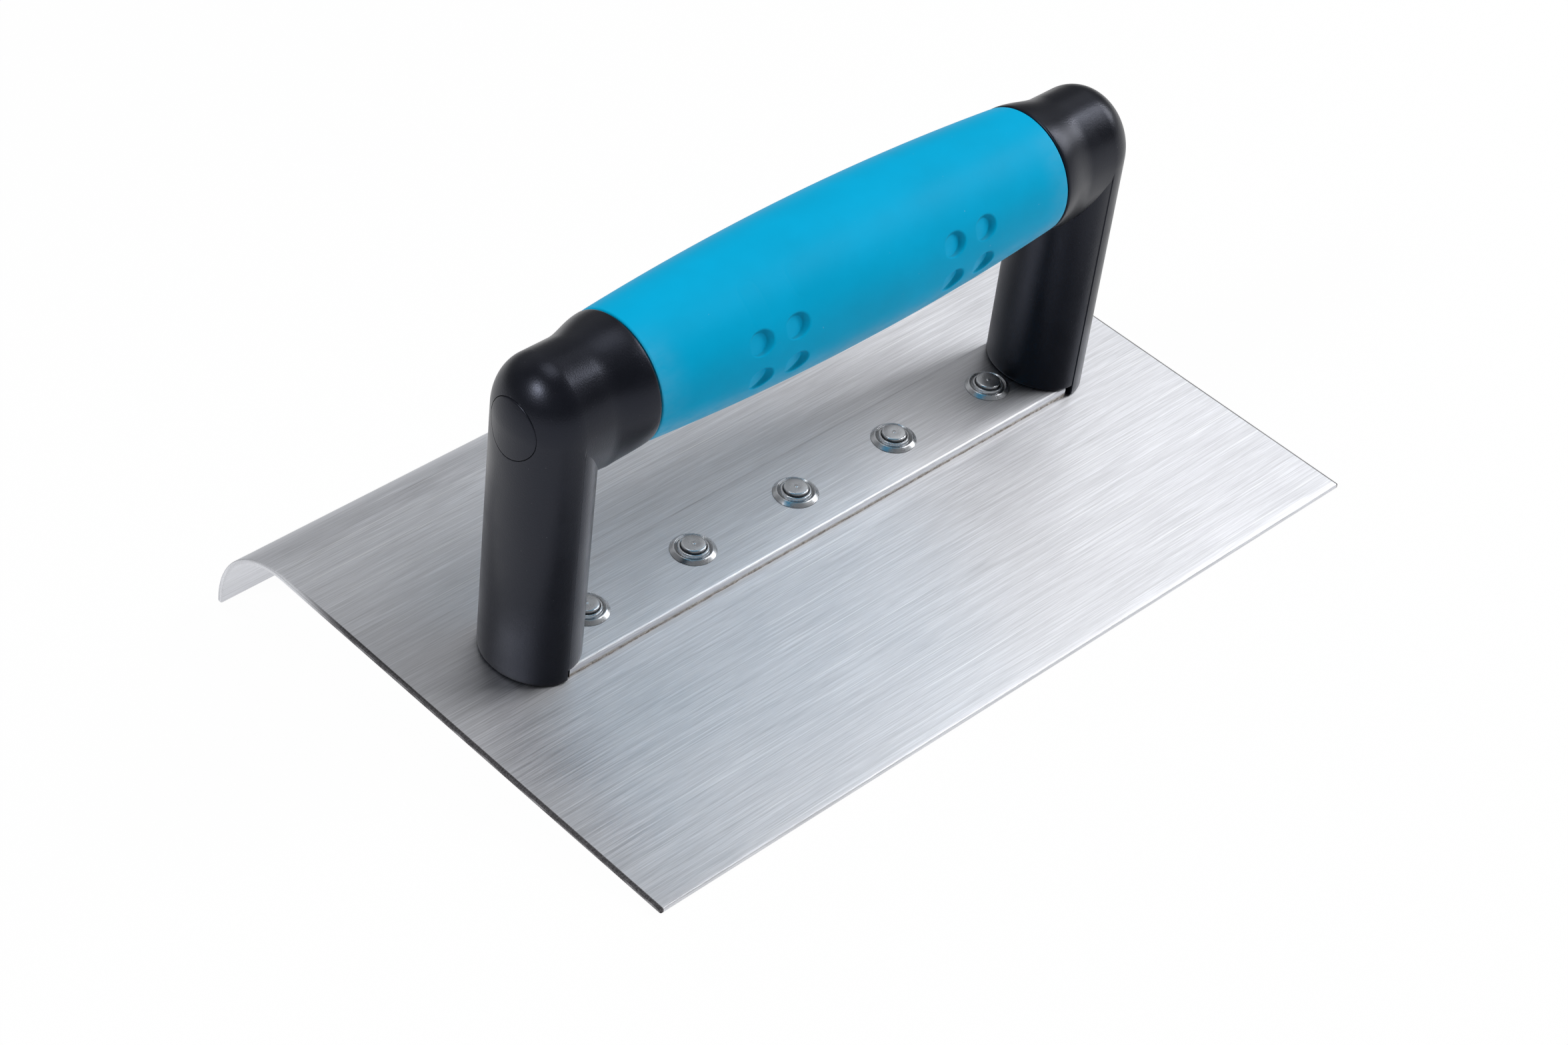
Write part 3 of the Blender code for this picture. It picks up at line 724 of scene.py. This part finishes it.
def plug_shape(fig, side):
    """Plug: rings of the outer skin out to the plug's radius, a rounded rim, a wall and a flat back."""
    r, flat = fig.plug, fig.plug - PLUG_RIM
    arc = np.radians(np.linspace(0, 90, 6))[1:]
    reach = np.concatenate([np.linspace(0, flat, 26), flat + PLUG_RIM * np.sin(arc), [r, 0.0]])
    rim = PLUG_RIM * (1 - np.cos(arc)) - PLUG_PROUD
    sink = np.concatenate([np.full(26, -PLUG_PROUD), rim, [PLUG_THICK, PLUG_THICK]])
    angle = np.linspace(0, 2 * np.pi, 145)[None, :]
    y, z = reach[:, None] * np.cos(angle), GRIP_HEIGHT + reach[:, None] * np.sin(angle)
    x = fig.face(y, z) - sink[:, None]
    shape = Shape()
    shape.grid(stack(side * x, HANDLE_Y + y, z))
    return shape


def dimple_cuts(x, angle, radius, sizes):
    """Depth of the dimples at each point, and 1 where the point lies on the wall of one, which takes painted
    shade.

    A dimple is an oval pocket. Its floor slopes from the skin on one side to its full depth on the other,
    where the wall closes it, and a short blend joins floor and wall.
    """
    cut = np.zeros((len(x), angle.shape[1]))
    shaded_wall = np.zeros_like(cut)
    for place in DIMPLE_PLACES:
        for turn in DIMPLE_ANGLES:
            along = (x - place)[:, None]
            around = (angle - turn) * radius[:, None]
            toward = along if turn > FRONT_FROM else -along
            reach = np.hypot(along / DIMPLE_ALONG, around / DIMPLE_AROUND)
            wall = DIMPLE_SLOPE * np.maximum(0.0, sizes.dimple_radius - reach)
            floor = sizes.dimple_depth * np.clip(0.5 + 0.5 * toward / sizes.dimple_radius, 0.0, 1.0)
            part = np.clip(0.5 + (wall - floor) / DIMPLE_BLEND, 0.0, 1.0)
            pocket = wall * (1 - part) + floor * part - DIMPLE_BLEND / 2 * part * (1 - part)
            cut = np.maximum(cut, pocket)
            # Painted shade goes on the wall of each dimple
            shaded_wall = np.maximum(shaded_wall, (1 - part) * smooth(wall / WALL_SHADE_DEPTH))
    return cut, shaded_wall


def mould_cuts(x, angle, radius):
    """Depth of the faint mould marks at each point: outlines of slots that run around the sleeve."""
    cut = np.zeros((len(x), angle.shape[1]))
    for place, turn, half in MOULD_MARKS:
        along = (x - place)[:, None]
        around = np.maximum(0.0, np.abs((angle - math.radians(turn)) * radius[:, None]) - half)
        away = np.abs(np.hypot(along, around) - MOULD_RADIUS)
        cut = np.maximum(cut, MOULD_DEPTH * smooth(1.5 - away / MOULD_WIDTH))
    return cut


def sleeve_sheen(x, angle):
    """Painted sheen on the skin: a pale veil under the front of the sleeve and near its ends."""
    turn = np.degrees(angle)
    under = smooth((turn - 184) / 34) * smooth((262 - turn) / 40)
    lap = smooth((np.abs(x) - 0.046) / 0.009)[:, None] * smooth((turn - 95) / 50)
    return np.clip(0.34 * under + 0.10 * lap, 0.0, 0.36)


def sleeve_shape(sizes):
    """Barrel spun about X, less its dimples and mould marks.

    The radius falls from the middle to the ends as a parabola. mark holds the painted sheen, or -1 on the
    walls that take painted shade.
    """
    r, seam = SLEEVE_ROUND, SLEEVE_HIGH.x
    big = (SLEEVE_HIGH.z - SLEEVE_LOW.z) / 2
    bore = (CORE_HIGH.z - CORE_LOW.z) / 2 + BORE_GAP
    x = fine_stops(-seam + r, seam - r, CLOSE_PLACES, 0.0009, 0.00019)
    angle = fine_stops(math.radians(-90), math.radians(270), CLOSE_ANGLES, 0.045, 0.0135)[None, :]
    radius = sizes.grip_end + (big - sizes.grip_end) * (1 - (x / seam) ** 2)
    cut, shaded_wall = dimple_cuts(x, angle, radius, sizes)
    skin = radius[:, None] - np.maximum(cut, mould_cuts(x, angle, radius))
    arc = np.radians(np.linspace(0, 90, 6))
    end_x, end_r = seam - r + r * np.cos(arc), (sizes.grip_end - r + r * np.sin(arc))[:, None]
    all_x = np.concatenate([[-seam], -end_x, x[1:-1], end_x[::-1], [seam], [-seam]])
    inside, end_r = bore + 0 * angle, end_r + 0 * angle
    all_r = np.concatenate([inside, end_r, skin[1:-1], end_r[::-1], inside, inside])
    walls = np.zeros_like(all_r)
    walls[1 + len(arc):len(x) + len(arc) - 1] = shaded_wall[1:-1]
    mark = sleeve_sheen(all_x, angle) * (1 - walls) - walls
    shape = Shape()
    y, z = HANDLE_Y + all_r * np.cos(angle), GRIP_HEIGHT + all_r * np.sin(angle)
    shape.grid(stack(all_x[:, None], y, z), mark=mark)
    return shape


# Operators


class EDGER_OT_blade(bpy.types.Operator):
    """Brushed blade with its rolled lip"""

    bl_idname = "edger.blade"
    bl_label = "Blade"

    def execute(self, context):
        sizes, finish = context.scene.edger_sizes, context.scene.edger_finish
        steel = brushed_steel("brushed_blade_steel", tuple(finish.steel), finish.steel_rough, BLADE_END_SHADE)
        show(blade_shape(sizes).build("rolled_blade", steel), "blade_steel", "blade")
        return {"FINISHED"}


class EDGER_OT_strip(bpy.types.Operator):
    """Sheared strip between the legs"""

    bl_idname = "edger.strip"
    bl_label = "Strip"

    def execute(self, context):
        sizes, finish = context.scene.edger_sizes, context.scene.edger_finish
        steel = brushed_steel("sheared_strip_steel", tuple(finish.steel), finish.steel_rough, STRIP_CUT)
        fig = LegFigures(sizes)
        show(strip_shape(sizes, fig.x).build("handle_strip", steel), "strip_steel", "spine_plate")
        return {"FINISHED"}


class EDGER_OT_rivets(bpy.types.Operator):
    """Five turned rivets along the strip"""

    bl_idname = "edger.rivets"
    bl_label = "Rivets"

    def execute(self, context):
        finish = context.scene.edger_finish
        steel = turned_steel("turned_rivet_steel", tuple(finish.rivet), finish.rivet_rough)
        for node in RIVET_NODES:
            low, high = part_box(node)
            piece = rivet_shape((low.x + high.x) / 2).build(f"{node}_head", steel)
            show(piece, "rivet_steel", node)
        return {"FINISHED"}


class EDGER_OT_legs(bpy.types.Operator):
    """Moulded legs with their elbows"""

    bl_idname = "edger.legs"
    bl_label = "Legs"

    def execute(self, context):
        sizes, finish = context.scene.edger_sizes, context.scene.edger_finish
        plastic = moulded_plastic("black_leg_plastic", tuple(finish.plastic), finish.plastic_rough)
        fig = LegFigures(sizes)
        for word, side in SIDES.items():
            shape = Shape()
            leg_skin(shape, sizes, fig, side)
            leg_inner(shape, sizes, fig, side)
            show(shape.build(f"moulded_leg_{word}", plastic), "leg_plastic", f"leg_{word}")
        return {"FINISHED"}


class EDGER_OT_plugs(bpy.types.Operator):
    """Round plugs over the end screws"""

    bl_idname = "edger.plugs"
    bl_label = "End plugs"

    def execute(self, context):
        sizes, finish = context.scene.edger_sizes, context.scene.edger_finish
        plastic = moulded_plastic("black_plug_plastic", tuple(finish.plastic), finish.plastic_rough)
        fig = LegFigures(sizes)
        for word, side in SIDES.items():
            piece = plug_shape(fig, side).build(f"round_plug_{word}", plastic)
            show(piece, "plug_plastic", f"end_plug_{word}")
        return {"FINISHED"}


class EDGER_OT_grip(bpy.types.Operator):
    """Blue barrel sleeve with scooped dimples"""

    bl_idname = "edger.grip"
    bl_label = "Grip sleeve"

    def execute(self, context):
        sizes, finish = context.scene.edger_sizes, context.scene.edger_finish
        rubber = soft_rubber("blue_sleeve_rubber", tuple(finish.sleeve), finish.sleeve_rough)
        show(sleeve_shape(sizes).build("barrel_sleeve", rubber, sharp=50), "sleeve_rubber", "grip_sleeve")
        return {"FINISHED"}


class EDGER_OT_inside(bpy.types.Operator):
    """Finishes of the core and the screws, which stay as the frame has them"""

    bl_idname = "edger.inside"
    bl_label = "Core and screws"

    def execute(self, context):
        core = plain_grain("core_plastic_grain", (0.012, 0.012, 0.013), 0.55, 0.0)
        screw = plain_grain("screw_steel_grain", (0.50, 0.50, 0.51), 0.30, 1.0)
        finishes = {"grip_core": core}
        for word in SIDES:
            finishes[f"end_screw_{word}"] = screw
            finishes[f"foot_screw_{word}"] = screw
        for node, made in finishes.items():
            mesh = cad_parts[node].data
            mesh.materials.clear()
            mesh.materials.append(made)
        return {"FINISHED"}


class EDGER_OT_stage(bpy.types.Operator):
    """White floor, soft lamps and the camera"""

    bl_idname = "edger.stage"
    bl_label = "Stage"

    def execute(self, context):
        scene = context.scene
        scene.view_settings.view_transform = "Standard"
        self.make_floor(scene)
        self.make_world(scene)
        self.make_lamps(scene)
        self.make_camera(scene)
        return {"FINISHED"}

    def make_floor(self, scene):
        """Flat floor tilted to touch the blade's front edge and the lip's lower edge.

        The camera and mirrors see most of it as an even white, so that no shadow greys the background.
        """
        lip = scene.edger_sizes.blade_thick / 2
        slope = BLADE_LOW.z / (BLADE_HIGH.y - BLADE_LOW.y - lip)
        stops = np.linspace(-FLOOR_REACH, FLOOR_REACH, FLOOR_CELLS + 1)
        x, y = np.meshgrid(stops, stops, indexing="ij")
        z = slope * (y - BLADE_LOW.y) - FLOOR_GAP
        cols = len(stops)
        first = np.arange(FLOOR_CELLS)[:, None] * cols + np.arange(FLOOR_CELLS)[None, :]
        faces = np.stack([first, first + cols, first + cols + 1, first + 1], -1).reshape(-1, 4)
        mesh = bpy.data.meshes.new("floor")
        mesh.from_pydata(stack(x, y, z).reshape(-1, 3).tolist(), [], faces.tolist())
        mesh.materials.append(self.floor_coat(scene))
        floor = bpy.data.objects.new("floor", mesh)
        scene.collection.objects.link(floor)

    def floor_coat(self, scene):
        """Matt white that glows evenly for rays from the camera and from shiny or clear surfaces."""
        coat = Coat("white_floor")
        coat.shader.inputs["Base Color"].default_value = (*scene.edger_finish.floor, 1.0)
        coat.shader.inputs["Roughness"].default_value = 0.9
        path = coat.nodes.new("ShaderNodeLightPath").outputs
        seen = coat.arithmetic("MAXIMUM", path["Is Camera Ray"], path["Is Glossy Ray"])
        seen = coat.arithmetic("MAXIMUM", seen, path["Is Transmission Ray"])
        seen = coat.arithmetic("MULTIPLY", seen, FLOOR_GLOW)
        glow = coat.nodes.new("ShaderNodeEmission")
        mix = coat.nodes.new("ShaderNodeMixShader")
        coat.links.new(seen, mix.inputs["Fac"])
        coat.links.new(coat.shader.outputs["BSDF"], mix.inputs[1])
        coat.links.new(glow.outputs["Emission"], mix.inputs[2])
        coat.links.new(mix.outputs["Shader"], coat.nodes["Material Output"].inputs["Surface"])
        return coat.made

    def make_world(self, scene):
        """Dim pale room behind the lamps."""
        world = bpy.data.worlds.new("studio_room")
        world.use_nodes = True
        scene.world = world
        room = world.node_tree.nodes["Background"]
        room.inputs["Strength"].default_value = ROOM_LIGHT
        room.inputs["Color"].default_value = ROOM_COLOUR

    def make_lamps(self, scene):
        """Soft rectangular lamps, each turned to its aim."""
        for name, place, aim, wide, tall, power in LAMPS:
            lamp = bpy.data.lights.new(name, "AREA")
            lamp.shape = "RECTANGLE"
            lamp.size, lamp.size_y, lamp.energy = wide, tall, power
            thing = bpy.data.objects.new(name, lamp)
            thing.location = place
            thing.rotation_euler = (Vector(aim) - Vector(place)).to_track_quat("-Z", "Y").to_euler()
            scene.collection.objects.link(thing)

    def make_camera(self, scene):
        """Camera that sees the tool as the photograph does."""
        data = bpy.data.cameras.new("camera")
        data.lens, data.sensor_width, data.sensor_fit = CAMERA_LENS, SENSOR_WIDTH, "HORIZONTAL"
        camera = bpy.data.objects.new("camera", data)
        right, up = Vector(CAMERA_RIGHT), Vector(CAMERA_UP)
        turn = Matrix((right, up, right.cross(up))).transposed().to_4x4()
        camera.matrix_world = Matrix.Translation(CAMERA_PLACE) @ turn
        scene.collection.objects.link(camera)
        scene.camera = camera


class EDGER_PT_panel(bpy.types.Panel):
    """Lists the pieces of the edger"""

    bl_idname = "EDGER_PT_panel"
    bl_label = "Hand Edger"
    bl_space_type = "VIEW_3D"
    bl_region_type = "UI"
    bl_category = "Edger"

    def draw(self, context):
        for step in STEPS:
            self.layout.operator(step.bl_idname)
        for group in (context.scene.edger_sizes, context.scene.edger_finish):
            column = self.layout.column()
            for name in group.__annotations__:
                column.prop(group, name)


STEPS = (EDGER_OT_blade, EDGER_OT_strip, EDGER_OT_rivets, EDGER_OT_legs, EDGER_OT_plugs, EDGER_OT_grip,
         EDGER_OT_inside, EDGER_OT_stage)
CLASSES = (EdgerSizes, EdgerFinish, *STEPS, EDGER_PT_panel)


def register():
    """Register the classes and put the two groups of properties on the scene."""
    for made in CLASSES:
        bpy.utils.register_class(made)
    bpy.types.Scene.edger_sizes = PointerProperty(type=EdgerSizes)
    bpy.types.Scene.edger_finish = PointerProperty(type=EdgerFinish)


def unregister():
    """Take back what register did."""
    del bpy.types.Scene.edger_finish
    del bpy.types.Scene.edger_sizes
    for made in reversed(CLASSES):
        bpy.utils.unregister_class(made)


def main():
    """Build every piece and the stage."""
    register()
    bpy.ops.edger.blade()
    bpy.ops.edger.strip()
    bpy.ops.edger.rivets()
    bpy.ops.edger.legs()
    bpy.ops.edger.plugs()
    bpy.ops.edger.grip()
    bpy.ops.edger.inside()
    bpy.ops.edger.stage()


if __name__ == "__main__":
    main()
